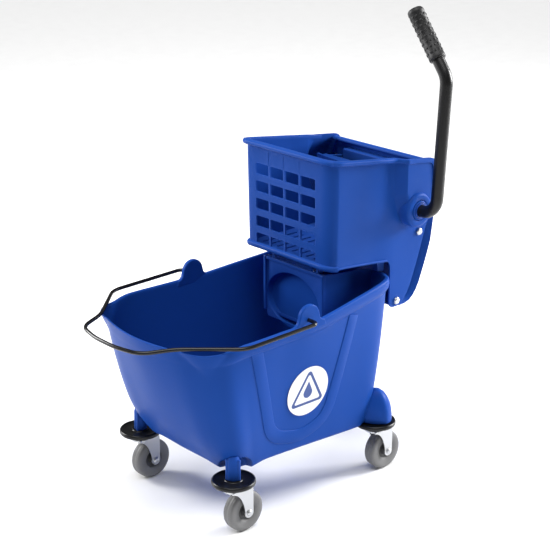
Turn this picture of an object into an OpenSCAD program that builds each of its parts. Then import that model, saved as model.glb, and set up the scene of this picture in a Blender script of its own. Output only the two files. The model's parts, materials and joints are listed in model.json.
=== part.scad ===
// Mop bucket on four swivel casters, with a bail handle and a lift-off side-press wringer.
// The bucket's long axis is X, the wringer end is +X, the lever and label side is -Y, and Z is up.

/* [Bucket] */
// Height of the rim above the floor, in front of the handle ears
rim_z = 365; // [340:1:390]
// Height of the rim at the nose, where the handle rests
nose_z = 359; // [345:1:362]
// Height of the rim at the wringer end
rear_rim_z = 388; // [370:1:398]
// Height of the underside at the nose
bottom_front_z = 112; // [110:1:116]
// Height of the underside at the wringer end
bottom_rear_z = 100; // [98:1:108]
// Thickness of the moulded wall
wall = 3.6; // [3:0.1:5]
// Height of the band that stiffens the rim
band_h = 25; // [18:1:30]
// How far the band stands out from the wall
band_out = 5; // [3:0.5:7]

/* [Casters] */
// Diameter of the wheels
wheel_d = 76.2; // [70:0.1:80]
// Width of the tyre
tyre_w = 24; // [20:0.5:26]
// Horizontal distance from swivel axis to axle
trail = 21; // [15:1:24]
// Diameter of the bumper discs
bumper_d = 79; // [70:1:84]
// Diameter of the swivel stems
stem_d = 11; // [9:0.5:12]
// Length of stem above the bumper disc
stem_up = 36; // [30:1:40]

/* [Bail handle] */
// Diameter of the wire
wire_d = 7; // [5:0.5:8]
// Half the distance between the two arms
bail_half = 190; // [186:1:192]

/* [Wringer] */
// Outer width of the wringer between its flat sides
wringer_w = 240; // [232:1:242]
// Width over the hub housings
housing_w = 274; // [268:1:276]
// Height of the top edge at the grid
wringer_top_z = 625; // [615:1:630]
// Height of the top edge at the lever end
wringer_rear_top_z = 594; // [588:1:600]
// Thickness of the wringer's moulded walls
shell = 4; // [3:0.5:5]
// Openings across the grid
grid_cols = 4; // [3:1:5]
// Rows of openings in the grid
grid_rows = 5; // [4:1:5]

/* [Lever] */
// Height of the lever's axis
hub_z = 505; // [500:1:510]
// Outer diameter of the lever's tube
tube_d = 23; // [20:0.5:24]
// Diameter of the rubber grip
grip_d = 31; // [28:0.5:33]
// Distance from the middle plane to the upright stretch of the lever
lever_y = 182; // [178:1:183]
// How far the lever leans back from upright at rest, in degrees
lever_lean = 3.3; // [2:0.1:5]
// Length of the cranks that carry the press plate
crank_r = 52; // [48:1:53]

/* [Hidden] */
$fn = 48;
// The casters: name, swivel axis X and Y
CASTERS = [["front_left", -173, 136], ["front_right", -173, -136],
           ["rear_left", 184, 129], ["rear_right", 184, -129]];

blue = "#2b5fcb";
steel = "#b9bcc0";
black = "#1c1c1e";
grey = "#8b8d90";

// The origin is under the middle of the whole part
frame_x = 0;
clear = 0.05;

// ---------- shared shapes ----------
function reversed(list) = [for (i = [len(list) - 1 : -1 : 0]) list[i]];

module at_frame() {
    translate([frame_x, 0, 0]) children();
}

// A rod between two points, with round ends
module rod(a, b, r) {
    d = b - a;
    flat = norm([d[0], d[1]]);
    translate(a) sphere(r = r);
    translate(b) sphere(r = r);
    translate(a) rotate([0, atan2(flat, d[2]), atan2(d[1], d[0])]) cylinder(r = r, h = norm(d));
}

// A shape drawn in the X-Z plane and extruded along Y from y0 to y1
module side_cut(y0, y1) {
    translate([0, y1, 0]) rotate([90, 0, 0]) linear_extrude(y1 - y0) children();
}

// A cylinder along Y from y0 to y1
module rod_y(x, z, r, y0, y1) {
    translate([x, y1, z]) rotate([90, 0, 0]) cylinder(r = r, h = y1 - y0);
}

// ---------- bucket ----------
// Half of the wall's outline, from the nose round to the wringer end, and how far it swells between the two:
// [x low, y low, x high, y high, swell]
PLAN = [[-164, 0, -272, 0, 22], [-163, 55, -266, 57, 22], [-162, 98, -249, 108, 24], [-152, 120, -215, 145, 24],
        [-120, 126, -168, 163, 8], [-70, 127, -70, 164, 0], [0, 128, 0, 162, 0], [100, 130, 110, 148, 2], [152, 128, 192, 134, 8],
        [167, 113, 214, 117, 10], [169, 80, 219, 80, 4], [169, 0, 219, 0, 4]];
swell_z = 190;
STEPS = 3;
bumper_top_z = 106;
low_z = (bottom_front_z + bottom_rear_z) / 2;
high_z = 420;
// The notch in the wringer end that the wringer's support stands in, seen from the side: [x, z]
NOTCH = [[95, 440], [95, 296], [104, 286], [160, 276], [260, 276], [260, 440]];
notch_half = 77;
notch_rim_z = 402;
// The rim seen from the side: it dips at the nose and rises to the wringer end
RIM = [[-400, nose_z], [-205, nose_z], [-165, rim_z], [5, rim_z], [90, mix(rim_z, rear_rim_z, 0.35)],
       [215, rear_rim_z], [400, rear_rim_z]];

function mix(a, b, t) = a + (b - a) * t;
// A point on the curve that passes through b and c
function curve(a, b, c, d, t) =
    0.5 * ((2 * b) + (c - a) * t + (2 * a - 5 * b + 4 * c - d) * t * t + (3 * b - a - 3 * c + d) * t * t * t);
function flip(p) = [p[0], -p[1], p[2], -p[3], p[4]];
LAST = len(PLAN) - 1;
HALF = concat([for (i = [0 : LAST - 2])
    let(a = i == 0 ? flip(PLAN[1]) : PLAN[i - 1], b = PLAN[i], c = PLAN[i + 1], d = PLAN[i + 2])
    for (s = [0 : STEPS - 1]) curve(a, b, c, d, s / STEPS)], [PLAN[LAST - 1]]);
RING = concat(HALF, [for (i = [len(HALF) - 1 : -1 : 1]) flip(HALF[i])]);
N = len(RING);

// The wall's outline at a height, moved outwards by out and by a share of the swell
function outline(z, out, share) =
    let(t = (z - low_z) / (rim_z - low_z), p = [for (r = RING) [mix(r[0], r[2], t), mix(r[1], r[3], t)]])
    [for (i = [0 : N - 1]) let(d = p[(i + 1) % N] - p[(i + N - 1) % N])
        p[i] + [-d[1], d[0]] / norm(d) * (out + RING[i][4] * share)];

// The space inside the wall's outline moved outwards by out, from a floor that falls to the wringer end
module tub_solid(out, up) {
    tilt = atan2(bottom_front_z - bottom_rear_z, 325);
    hull() {
        translate([0, 0, high_z]) linear_extrude(1) polygon(outline(high_z, out, 0));
        translate([0, 0, swell_z]) linear_extrude(1) polygon(outline(swell_z, out, 1));
        translate([0, 0, low_z + up]) rotate([0, tilt, 0]) linear_extrude(0.2) polygon(outline(low_z, out, 0));
    }
}

// A pouring corner of the rim, at the radius r
module spout(side, r) {
    hull() {
        translate([-196, side * 128, 318]) cylinder(r = r, h = 1, $fn = 24);
        translate([-222, side * 144, high_z]) cylinder(r = r, h = 1, $fn = 24);
    }
}

module ear(side) {
    side_cut(side * 159 - 4, side * 159 + 4) polygon(concat(
        [[-60, 330], [-60, 360]], [for (a = [180 : -15 : 0]) [-22 + 22 * cos(a), 378 + 22 * sin(a)]],
        [[16, 360], [16, 330]]));
    rod_y(bail_x, bail_z, 10, side * 163 - 5, side * 163 + 5);
}

// A post that takes a caster's stem, and the web that joins it to the tub's corner
module caster_post(x, y) {
    translate([x, y, 0]) rotate_extrude() polygon(x < 0
        ? [[0, bumper_top_z], [14, bumper_top_z], [14, 148], [8, 158], [0, 160]]
        : [[0, bumper_top_z], [28, bumper_top_z], [28, 126], [19, 152], [8, 172], [0, 174]]);
    if (x < 0) translate([x, y, bumper_top_z + 6]) rotate([0, 0, y > 0 ? -40 : 40]) translate([0, -9, 0])
        cube([50, 18, 52]);
}

module bucket() {
    rim_cut = concat([[-400, 600]], RIM, [[400, 600]]);
    color(blue) at_frame() difference() {
        union() {
            difference() {
                union() {
                    tub_solid(0, 0);
                    // The band that stiffens the rim
                    intersection() {
                        tub_solid(band_out, 0);
                        side_cut(-250, 250) polygon(concat([for (p = RIM) p + [0, 20]],
                            [for (i = [len(RIM) - 1 : -1 : 0]) RIM[i] - [0, band_h]]));
                    }
                    for (side = [-1, 1]) {
                        spout(side, 26);
                        ear(side);
                    }
                    for (c = CASTERS) caster_post(c[1], c[2]);
                }
                difference() {
                    union() {
                        tub_solid(-wall, wall);
                        for (side = [-1, 1]) spout(side, 26 - wall);
                    }
                    // The notch's own walls stand inside
                    side_cut(-notch_half - wall, notch_half + wall) polygon([[95 - wall, 440], [95 - wall, 294],
                        [102, 282], [160, 272], [260, 272], [260, 440]]);
                    // The floor rises over the rear bumper discs
                    for (c = CASTERS) translate([c[1], c[2], 90]) cylinder(d = bumper_d + 6, h = bumper_top_z - 86);
                }
                // Everything above the rim, apart from the ears
                difference() {
                    side_cut(-300, 300) polygon(rim_cut);
                    side_cut(-notch_half - wall - 6, notch_half + wall + 6)
                        polygon([[85, 300], [85, notch_rim_z], [150, notch_rim_z], [205, rear_rim_z + 2], [205, 300]]);
                    for (side = [-1, 1]) ear(side);
                }
            }
        }
        side_cut(-notch_half, notch_half) polygon(NOTCH);
        for (c = CASTERS) translate([c[1], c[2], 90])
            cylinder(d = bumper_d + 1, h = bumper_top_z + clear - 90);
        rod_y(bail_x, bail_z, wire_d / 2 + clear, -180, 180);
        for (c = CASTERS) translate([c[1], c[2], bumper_top_z - 1]) cylinder(d = stem_d, h = stem_up + 1);
    }
}
bucket();

module label_disc() {
    // It lies on the wall, which leans out by 6.31 degrees and turns by 2.18 degrees here
    color("white") at_frame() translate([-6, -149.25, 226]) rotate([90 + 6.31, 0, 2.18]) cylinder(d = 97, h = 0.8);
}
label_disc();

// ---------- bail handle ----------
bail_x = -26;
bail_z = 373;
// The resting handle falls to the nose by this angle
bail_fall = 1.5;
// Corners of the wire on the +Y side, measured from the pivot, and the radius of each bend: [x, y, radius]
BAIL = [[0, 152, 0], [0, bail_half, 12], [-160, bail_half, 30], [-244, 108, 40], [-299, 80, 20], [-312, 30, 60]];
WIRE_SIDES = 16;

// Points along a bend at b, on the way from a to c
function bend(a, b, c, radius) =
    let(u = (a - b) / norm(a - b), v = (c - b) / norm(c - b), half = acos(u * v) / 2,
        turn = (180 - half * 2) * sign(u[1] * v[0] - u[0] * v[1]), steps = ceil(abs(turn) / 12),
        centre = b + (u + v) / norm(u + v) * radius / sin(half),
        start = atan2(-u[1] - v[1], -u[0] - v[0]) - turn / 2)
    [for (i = [0 : steps]) centre + radius * [cos(start + turn * i / steps), sin(start + turn * i / steps)]];

// A wire of radius r along a flat path
module wire(path, r) {
    last = len(path) - 1;
    rings = [for (i = [0 : last])
        let(a = path[max(i - 1, 0)], b = path[i], c = path[min(i + 1, last)],
            u = i == 0 ? (c - b) / norm(c - b) : (b - a) / norm(b - a),
            v = i == last ? u : (c - b) / norm(c - b), mid = (u + v) / norm(u + v), wide = r / (mid * u))
        for (k = [0 : WIRE_SIDES - 1]) let(t = 360 * k / WIRE_SIDES)
            [b[0] - mid[1] * wide * cos(t), b[1] + mid[0] * wide * cos(t), r * sin(t)]];
    sides = [for (i = [0 : last - 1]) for (k = [0 : WIRE_SIDES - 1])
        let(n = (k + 1) % WIRE_SIDES, p = i * WIRE_SIDES, q = p + WIRE_SIDES) [p + k, q + k, q + n, p + n]];
    ends = [[for (k = [0 : WIRE_SIDES - 1]) k],
            [for (k = [WIRE_SIDES - 1 : -1 : 0]) last * WIRE_SIDES + k]];
    polyhedron(rings, concat(sides, ends));
}

module bail_handle() {
    half = [for (p = BAIL) [p[0], p[1]]];
    path = concat(half, [for (p = reversed(half)) [p[0], -p[1]]]);
    radii = concat([for (p = BAIL) p[2]], reversed([for (p = BAIL) p[2]]));
    last = len(path) - 1;
    color(black) at_frame() translate([bail_x, 0, bail_z]) rotate([0, -bail_fall, 0])
        wire(concat([path[0]], [for (i = [1 : last - 1])
            for (q = bend(path[i - 1], path[i], path[i + 1], radii[i])) q], [path[last]]), wire_d / 2);
}
bail_handle();

// ---------- casters ----------
wheel_r = wheel_d / 2;
axle_r = 4;
fork_half = 17.7;
fork_t = 2.2;
crown_z = 84.5;
crown_t = 3;

// One caster's frame: the origin is on the floor under its swivel axis, and it trails towards +X
module caster(index) {
    at_frame() translate([CASTERS[index][1], CASTERS[index][2], 0]) children();
}

module bumper() {
    color(black) rotate_extrude($fn = 64) polygon([
        [stem_d / 2 + clear, 97], [bumper_d / 2 - 2, 97], [bumper_d / 2, 99], [bumper_d / 2, bumper_top_z - 1.5],
        [bumper_d / 2 - 1.5, bumper_top_z], [bumper_d / 2 - 4, bumper_top_z], [bumper_d / 2 - 6, bumper_top_z - 1.5],
        [16, bumper_top_z - 1.5], [16, bumper_top_z], [stem_d / 2 + clear, bumper_top_z]]);
}

module stem() {
    color(steel) {
        translate([0, 0, 81.6]) cylinder(d = stem_d - clear * 2, h = bumper_top_z + stem_up - 0.4 - 81.6);
        translate([0, 0, 81.6]) cylinder(r = 8.5, h = crown_z - 0.1 - 81.6);
    }
}

module race() {
    color(steel) rotate_extrude() polygon([
        [stem_d / 2 + clear, 92.8], [14.8, 92.8], [14.8, 89.5], [17, 89.5], [17, 95], [15, 97],
        [stem_d / 2 + clear, 97]]);
}

module balls() {
    color(steel) {
        rotate_extrude() polygon([[9.2, 87.5], [13.2, 87.5], [13.2, 89.2], [9.2, 89.2]]);
        for (i = [0 : 9]) rotate([0, 0, 36 * i]) translate([11.2, 0, 90.1]) sphere(r = 2.2, $fn = 16);
    }
}

module fork() {
    right = trail + 9.5;
    color(steel) difference() {
        union() {
            translate([0, 0, crown_z]) linear_extrude(crown_t) union() {
                circle(r = 20);
                translate([0, -fork_half]) square([right - 1, fork_half * 2]);
            }
            for (side = [-1, 1]) {
                y = side * (fork_half - fork_t / 2);
                side_cut(y - fork_t / 2, y + fork_t / 2) polygon(
                    [[-9, crown_z + crown_t], [right - 1, crown_z + crown_t], [right - 0.5, wheel_r],
                     [trail - 9, wheel_r], [-9, crown_z - 10]]);
                rod_y(trail, wheel_r, 9.5, y - fork_t / 2, y + fork_t / 2);
            }
        }
        translate([0, 0, crown_z - 1]) cylinder(d = stem_d + clear, h = crown_t + 2);
        rod_y(trail, wheel_r, axle_r + clear, -30, 30);
    }
}

module axle() {
    color(steel) {
        rod_y(trail, wheel_r, axle_r, -fork_half - 1, fork_half + 6.5);
        rod_y(trail, wheel_r, 7.2, -fork_half - 4.5, -fork_half, $fn = 6);
        rod_y(trail, wheel_r, 7.2, fork_half, fork_half + 5.5, $fn = 6);
    }
}

tyre_in_r = 27;

// A shape turned about the axle
module turned() {
    translate([trail, 0, wheel_r]) rotate([90, 0, 0]) rotate_extrude($fn = 72) children();
}

module hub() {
    boss = fork_half - fork_t - 0.3;
    color("#5c5d60") turned() polygon([
        [axle_r + clear, -boss], [10, -boss], [10, -6], [20, -4], [23.5, -10.5], [tyre_in_r, -10.5],
        [tyre_in_r, 10.5], [23.5, 10.5], [20, 4], [10, 6], [10, boss], [axle_r + clear, boss]]);
}

module tyre() {
    half = tyre_w / 2;
    crown = [for (a = [-60 : 15 : 60]) [wheel_r - 7 + 7 * cos(a * 1.5), half * sin(a * 1.5)]];
    color(grey) turned() polygon(concat([[tyre_in_r, half - 1.5]], [for (i = [len(crown) - 1 : -1 : 0]) crown[i]],
        [[tyre_in_r, 1.5 - half]]));
}

for (i = [0 : 3]) {
    name = CASTERS[i][0];
    caster(i) bumper();
    caster(i) stem();
    caster(i) race();
    caster(i) balls();
    caster(i) fork();
    caster(i) axle();
    caster(i) hub();
    caster(i) tyre();
}

// ---------- wringer ----------
hub_x = 275;
half_w = wringer_w / 2;
half_h = housing_w / 2;
grid_x = 74;
// The grid sits a little to the left of the middle
grid_y = 8;
// Front corners of the wringer: how far each reaches back and across
CORNER_LEFT = [13, 14];
CORNER_RIGHT = [18, 32];
floor_z = 428;
// Side view of one side plate with its leg, of the hub housing and of the rear cover: [x, z]
SIDE = [[102, floor_z - 4], [219, 413], [227, 411], [227, 331], [236, 322], [256, 322], [276, 334], [290, 353],
        [305, 390], [319, 430], [326, 470], [326, 640], [102, 640]];
HOUSING = [[229, 640], [229, 538], [236, 512], [248, 486], [262, 474], [284, 470], [322, 472], [328, 492],
           [323, 560], [320, 640]];
COVER = [[309, 588], [314, 545], [330, 508], [341, 486], [340, 468], [334, 430], [320, 388], [305, 350],
         [290, 331], [268, 322], [236, 322]];
// The cover's side flanges run along this stretch of it
FLANGE = [4 : 10];
BOLTS = [[302, 456], [246, 333]];
bush_r = 15;
bush_in = 126;
shaft_r = 8;
slope = atan2(wringer_top_z - wringer_rear_top_z, 318 - grid_x);

// A path moved sideways by d, to the left of the way it runs
function beside(path, d) = [for (i = [0 : len(path) - 1])
    let(a = path[max(i - 1, 0)], b = path[min(i + 1, len(path) - 1)], t = b - a)
    path[i] + [-t[1], t[0]] / norm(t) * d];

module plan(inset, rear) {
    l = CORNER_LEFT;
    r = CORNER_RIGHT;
    polygon(concat([[rear, -half_w + inset]], [[rear, half_w - inset]],
        [for (a = [90 : 15 : 180])
            [grid_x + l[0] + (l[0] - inset) * cos(a), half_w - l[1] + (l[1] - inset) * sin(a)]],
        [for (a = [180 : 15 : 270])
            [grid_x + r[0] + (r[0] - inset) * cos(a), r[1] - half_w + (r[1] - inset) * sin(a)]]));
}

module both_sides() {
    children();
    mirror([0, 1, 0]) children();
}

module grid_holes() {
    pitch_y = 164 / grid_cols;
    pitch_z = 170 / grid_rows;
    for (c = [0 : grid_cols - 1]) for (r = [0 : grid_rows - 1])
        translate([grid_x - 8, grid_y + (c - (grid_cols - 1) / 2) * pitch_y - (pitch_y - 5.5) / 2, 429 + r * pitch_z])
            cube([20, pitch_y - 5.5, pitch_z - 12.5]);
}

module wringer_body() {
    color(blue) at_frame() difference() {
        union() {
            translate([0, 0, floor_z - 4]) linear_extrude(210) difference() {
                plan(0, 231);
                plan(shell, 300);
            }
            translate([0, 0, floor_z - 4]) linear_extrude(4) plan(0, 304);
            // The rounded bead along the bottom of the grid
            rod([grid_x - 1, -half_w + 22, floor_z - 4], [grid_x - 1, half_w - 22, floor_z - 4], 5);
            both_sides() {
                side_cut(half_w - shell, half_w) polygon(SIDE);
                side_cut(half_w - shell, half_h) polygon(HOUSING);
                rod_y(hub_x, hub_z, 24, half_h - 8, half_h + 8);
                // Feet on the notch's front rim and on the rear corners of the bucket
                side_cut(57, 63) polygon([[92, floor_z - 2], [92, notch_rim_z + 0.4], [106, notch_rim_z + 0.4],
                    [106, floor_z - 2]]);
                side_cut(90, 104) polygon([[204, floor_z - 2], [207, rear_rim_z + 1], [222, rear_rim_z + 1],
                    [225, floor_z - 2]]);
            }
        }
        both_sides() {
            side_cut(half_w - shell - 1, half_h - shell) polygon([[233, 650], [233, 539], [240, 514], [251, 489],
                [264, 478], [283, 474.5], [318, 476], [323.5, 493], [318.5, 560], [315.5, 650]]);
            rod_y(hub_x, hub_z, bush_r + clear, 100, 160);
            for (b = BOLTS) rod_y(b[0], b[1], 3.1, 100, 140);
        }
        grid_holes();
        // Slots that drain the floor
        for (y = [-90 : 20 : 90]) translate([92, y - 3, floor_z - 10]) cube([90, 6, 20]);
        // The top edge falls towards the lever end
        translate([grid_x, -200, wringer_top_z]) rotate([0, slope, 0]) translate([-60, 0, 0]) cube([400, 400, 100]);
    }
}
wringer_body();

module rear_cover() {
    inner = beside(COVER, -4);
    flange = beside(COVER, -22);
    color(blue) at_frame() difference() {
        union() {
            side_cut(clear - half_w + shell, half_w - shell - clear) polygon(concat(COVER, reversed(inner)));
            both_sides() side_cut(half_w - shell - 4 - clear, half_w - shell - clear)
                polygon(concat([for (i = FLANGE) COVER[i]], reversed([for (i = FLANGE) flange[i]])));
        }
        both_sides() for (b = BOLTS) rod_y(b[0], b[1], 3.1, 100, 140);
    }
}
rear_cover();

module cover_bolts() {
    color(steel) at_frame() both_sides() for (b = BOLTS) {
        rod_y(b[0], b[1], 3, 103, half_w);
        rod_y(b[0], b[1], 6.3, half_w, half_w + 4);
    }
}
cover_bolts();

module cover_nuts() {
    color(steel) at_frame() both_sides() for (b = BOLTS) difference() {
        rod_y(b[0], b[1], 6, half_w - shell - 9, half_w - shell - 4 - clear, $fn = 6);
        rod_y(b[0], b[1], 3.05, 100, 130);
    }
}
cover_nuts();

module hub_bushes() {
    color("ivory") at_frame() for (side = [-1, 1]) {
        y = side * (half_h + 9 + bush_in) / 2;
        reach = (half_h + 9 - bush_in) / 2;
        difference() {
            rod_y(hub_x, hub_z, bush_r, y - reach, y + reach);
            rod_y(hub_x, hub_z, (side < 0 ? tube_d / 2 : shaft_r) + clear, y - 60, y + 60);
        }
    }
}
hub_bushes();

// ---------- lever ----------
bend_r = 32;
top_bend_r = 40;
top_bend = 39;
upright = 205;
grip_start = 24;
grip_len = 104;
stub_y = -108;
shaft_y = -149;

// The lever's frame: the origin is on its axis in the middle plane, and the lever leans back from upright
module lever_frame() {
    at_frame() translate([hub_x, 0, hub_z]) rotate([0, lever_lean, 0]) children();
}

// The lever's centre line as a rod of radius r: out from the hub, up, and leaning in over the wringer
module tube_path(r, end) {
    translate([0, stub_y, 0]) rotate([90, 0, 0]) rotate([0, 0, -90])
        cylinder(r = r, h = stub_y + lever_y - bend_r);
    translate([0, bend_r - lever_y, bend_r]) rotate([-90, 0, 0]) rotate([0, 90, 0])
        rotate_extrude(angle = 90) translate([bend_r, 0]) circle(r = r);
    translate([0, -lever_y, bend_r]) rotate([0, 0, -90]) cylinder(r = r, h = upright);
    translate([0, top_bend_r - lever_y, bend_r + upright]) {
        rotate([90, 0, -90])
            rotate_extrude(angle = top_bend) translate([top_bend_r, 0]) circle(r = r);
        rotate([-top_bend, 0, 0]) translate([0, -top_bend_r, 0]) rotate([0, 0, -90]) cylinder(r = r, h = end);
    }
}

module lever_tube() {
    color(black) lever_frame() difference() {
        tube_path(tube_d / 2, grip_start + grip_len - 4);
        rod_y(0, 0, shaft_r + clear, shaft_y - clear, stub_y + 1);
    }
}
lever_tube();

module grip() {
    color("#2a2a2c") lever_frame() translate([0, top_bend_r - lever_y, bend_r + upright])
        rotate([-top_bend, 0, 0]) translate([0, -top_bend_r, grip_start]) rotate_extrude() polygon([
            [tube_d / 2 + clear, 0], [grip_d / 2 - 1.5, 0], [grip_d / 2, 3], [grip_d / 2, grip_len - 5],
            [grip_d / 2 - 4, grip_len], [0, grip_len], [0, grip_len - 3.9], [tube_d / 2 + clear, grip_len - 3.9]]);
}
grip();

// ---------- press ----------
// The crank leans back from upright at rest; the plate hangs on the crank pins and stays level
crank_lean = 22;
pin_x = hub_x + crank_r * sin(crank_lean);
pin_z = hub_z + crank_r * cos(crank_lean);
pin_r = 5;
plate_half = 110;
plate_x = 250;
plate_bow = 12;
plate_low = 458;
plate_high = 570;

module press_shaft() {
    color(steel) at_frame() rod_y(hub_x, hub_z, shaft_r, shaft_y, half_h + 14);
}
press_shaft();

module cranks() {
    color(steel) at_frame() both_sides() difference() {
        union() {
            rod_y(hub_x, hub_z, 12.5, 97, 103);
            rod_y(pin_x, pin_z, 8.5, 97, 103);
            translate([hub_x, 0, hub_z]) rotate([0, crank_lean, 0]) translate([-7, 97, 0]) cube([14, 6, crank_r]);
        }
        rod_y(hub_x, hub_z, shaft_r + clear, 90, 110);
        rod_y(pin_x, pin_z, pin_r + clear, 90, 110);
    }
}
cranks();

module shaft_cap() {
    color("ivory") at_frame() difference() {
        rod_y(hub_x, hub_z, 13, half_h + 9.3, half_h + 16);
        rod_y(hub_x, hub_z, shaft_r + clear, half_h, half_h + 14.1);
    }
}
shaft_cap();

module crank_pins() {
    color(steel) at_frame() both_sides() rod_y(pin_x, pin_z, pin_r, 84, 103);
}
crank_pins();

// The plate's outline from above, bowed towards the grid, and moved back by back
function bowed(back, half) = [for (i = [0 : 12])
    let(y = mix(-half, half, i / 12)) [plate_x - plate_bow * (1 - pow(y / plate_half, 2)) + back, y]];

module plate_layer(low, high, depth, half) {
    translate([0, 0, low]) linear_extrude(high - low) polygon(concat(bowed(0, half), [[plate_x + depth, half],
        [plate_x + depth, -half]]));
}

module press_plate() {
    color(blue) at_frame() difference() {
        union() {
            translate([0, 0, plate_low]) linear_extrude(plate_high - plate_low)
                polygon(concat(bowed(0, plate_half), reversed(bowed(4.5, plate_half))));
            plate_layer(plate_high - 5, plate_high, 10, plate_half - 15);
            plate_layer(plate_low, plate_low + 5, 9, plate_half - 15);
            for (y = [-60, -20, 20, 60]) translate([plate_x - plate_bow + 4, y - 2, plate_low])
                cube([plate_bow + 4, 4, plate_high - plate_low]);
            both_sides() {
                side_cut(86, 94) polygon([[plate_x, 528], [plate_x, plate_high], [pin_x, pin_z + 9.5],
                    [pin_x, pin_z - 9.5], [276, 538]]);
                rod_y(pin_x, pin_z, 10, 86, 94);
            }
        }
        both_sides() rod_y(pin_x, pin_z, pin_r + clear, 80, 95);
    }
}
press_plate();
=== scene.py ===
import bpy, bmesh, json, math
import numpy as np
from mathutils import Matrix, Vector

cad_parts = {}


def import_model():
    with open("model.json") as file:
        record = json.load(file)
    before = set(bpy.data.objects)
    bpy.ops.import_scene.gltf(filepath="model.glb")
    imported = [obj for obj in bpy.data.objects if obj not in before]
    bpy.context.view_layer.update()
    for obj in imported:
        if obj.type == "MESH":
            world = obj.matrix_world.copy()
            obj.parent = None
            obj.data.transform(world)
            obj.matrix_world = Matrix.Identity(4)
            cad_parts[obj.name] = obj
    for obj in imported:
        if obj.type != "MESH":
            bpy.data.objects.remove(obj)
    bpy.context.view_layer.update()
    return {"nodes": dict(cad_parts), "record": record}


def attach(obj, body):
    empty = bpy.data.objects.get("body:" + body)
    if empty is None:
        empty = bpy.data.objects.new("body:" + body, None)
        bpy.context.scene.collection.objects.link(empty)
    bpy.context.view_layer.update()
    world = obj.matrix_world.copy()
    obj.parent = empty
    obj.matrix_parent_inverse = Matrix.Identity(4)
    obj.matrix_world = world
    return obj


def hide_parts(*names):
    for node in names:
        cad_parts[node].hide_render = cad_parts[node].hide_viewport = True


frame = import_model()

# Looks for the mop bucket with its side-press wringer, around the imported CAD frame.
# Blender works in metres, +Z up; the shapes below are written in millimetres and scaled by MM.
MM = 0.001
CORNERS = [("front_left", -173, 136), ("front_right", -173, -136),
           ("rear_left", 184, 129), ("rear_right", 184, -129)]
PIVOT_X, PIVOT_Z = 275, 505  # the lever's axis, which runs along Y


# ---------- materials ----------
def socket(node, name, value):
    node.inputs[name].default_value = value


CLOUD_SCALE = 14.0  # patches about 7 cm across
HIGHLIGHT_FROM, HIGHLIGHT_TO = 0.52, 0.60  # pointiness of a convex edge, where the painted highlight starts and where it is full
GRAIN_DEPTH = 0.0004


def material(name, base, rough, metal=0.0, grain=900.0, bump=0.06, vary=0.12, streak=0.0, edge=0.0, spec=0.5):
    """A procedural material: mottled colour and roughness, a fine grain, optional streaks and a painted
    highlight on convex edges.
    """
    m = bpy.data.materials.new(name)
    m.use_nodes = True
    nt = m.node_tree
    p = nt.nodes["Principled BSDF"]
    socket(p, "Metallic", metal)
    socket(p, "Specular IOR Level", spec)
    where = nt.nodes.new("ShaderNodeTexCoord")
    cloud = nt.nodes.new("ShaderNodeTexNoise")
    socket(cloud, "Scale", CLOUD_SCALE)
    socket(cloud, "Detail", 5.0)
    nt.links.new(where.outputs["Object"], cloud.inputs["Vector"])
    mix = nt.nodes.new("ShaderNodeMix")
    mix.data_type = "RGBA"
    mix.inputs["A"].default_value = (*[c * (1 - vary) for c in base], 1)
    mix.inputs["B"].default_value = (*[min(1, c * (1 + vary)) for c in base], 1)
    nt.links.new(cloud.outputs["Fac"], mix.inputs["Factor"])
    colour = mix.outputs["Result"]
    # Convex edges are painted paler by their pointiness: a painted highlight
    if edge:
        geo = nt.nodes.new("ShaderNodeNewGeometry")
        ramp = nt.nodes.new("ShaderNodeMapRange")
        socket(ramp, "From Min", HIGHLIGHT_FROM)
        socket(ramp, "From Max", HIGHLIGHT_TO)
        socket(ramp, "To Max", edge)
        nt.links.new(geo.outputs["Pointiness"], ramp.inputs["Value"])
        edge_highlight = nt.nodes.new("ShaderNodeMix")
        edge_highlight.data_type = "RGBA"
        edge_highlight.inputs["B"].default_value = (*[min(1, c * 1.5 + 0.03) for c in base], 1)
        nt.links.new(colour, edge_highlight.inputs["A"])
        nt.links.new(ramp.outputs["Result"], edge_highlight.inputs["Factor"])
        colour = edge_highlight.outputs["Result"]
    nt.links.new(colour, p.inputs["Base Color"])
    fine = nt.nodes.new("ShaderNodeTexNoise")
    socket(fine, "Scale", grain)
    socket(fine, "Detail", 3.0)
    if streak:
        stretch = nt.nodes.new("ShaderNodeMapping")
        stretch.inputs["Scale"].default_value = (1, streak, 1)
        nt.links.new(where.outputs["Object"], stretch.inputs["Vector"])
        nt.links.new(stretch.outputs["Vector"], fine.inputs["Vector"])
    else:
        nt.links.new(where.outputs["Object"], fine.inputs["Vector"])
    spread = nt.nodes.new("ShaderNodeMapRange")
    socket(spread, "To Min", rough * 0.8)
    socket(spread, "To Max", min(1, rough * 1.25))
    nt.links.new(cloud.outputs["Fac"], spread.inputs["Value"])
    nt.links.new(spread.outputs["Result"], p.inputs["Roughness"])
    b = nt.nodes.new("ShaderNodeBump")
    socket(b, "Strength", bump)
    socket(b, "Distance", GRAIN_DEPTH)
    nt.links.new(fine.outputs["Fac"], b.inputs["Height"])
    nt.links.new(b.outputs["Normal"], p.inputs["Normal"])
    return m


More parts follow.
